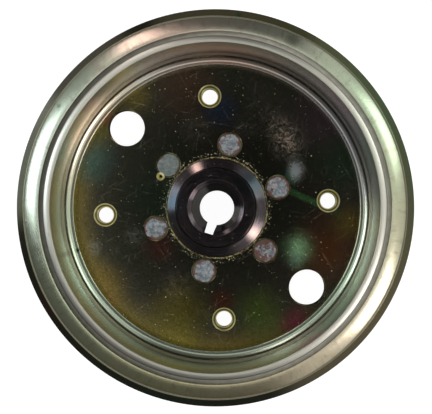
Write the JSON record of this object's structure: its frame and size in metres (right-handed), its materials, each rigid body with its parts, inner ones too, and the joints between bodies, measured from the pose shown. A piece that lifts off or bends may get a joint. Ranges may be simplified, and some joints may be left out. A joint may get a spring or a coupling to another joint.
{
  "type": "flywheel",
  "caption": "Cup-shaped magneto flywheel: pressed steel cup with rolled rim, riveted hub with keyed taper bore, lined magnet ring, chamfered screw holes and windows in the web.",
  "frame": {"origin": "on the axis of rotation, at the back face of the hub boss, the plane the wheel stands on", "axes": "+Z along the axis of rotation, out of the open side; +X and +Y across the web as seen from the open side"},
  "size_m": [0.131, 0.131, 0.036],
  "materials": {
    "zinc_plated_cup": "yellow-passivated zinc plate, mirror-like on the web, satin on the turned rim",
    "bright_liner": "smooth drawn sheet steel",
    "dark_turned_hub": "turned, dark oxide over fine tool marks",
    "bare_rivet": "bare peened steel, rusting at the edge",
    "grey_ring": "dull",
    "magnet": "dull cast magnet alloy",
    "spacer": "die-cast"
  },
  "bodies": {
    "root": {"shell": "zinc_plated_cup", "magnet_liner": "bright_liner", "hub": "dark_turned_hub", "end_ring": "grey_ring", "base_ring": "grey_ring", "rivet_1": "bare_rivet", "rivet_2": "bare_rivet", "rivet_3": "bare_rivet", "rivet_4": "bare_rivet", "rivet_5": "bare_rivet", "rivet_6": "bare_rivet", "magnet_1": "magnet", "magnet_2": "magnet", "magnet_3": "magnet", "magnet_4": "magnet", "magnet_5": "magnet", "magnet_6": "magnet", "pole_spacer_1": "spacer", "pole_spacer_2": "spacer", "pole_spacer_3": "spacer", "pole_spacer_4": "spacer", "pole_spacer_5": "spacer", "pole_spacer_6": "spacer"}
  },
  "joints": []
}
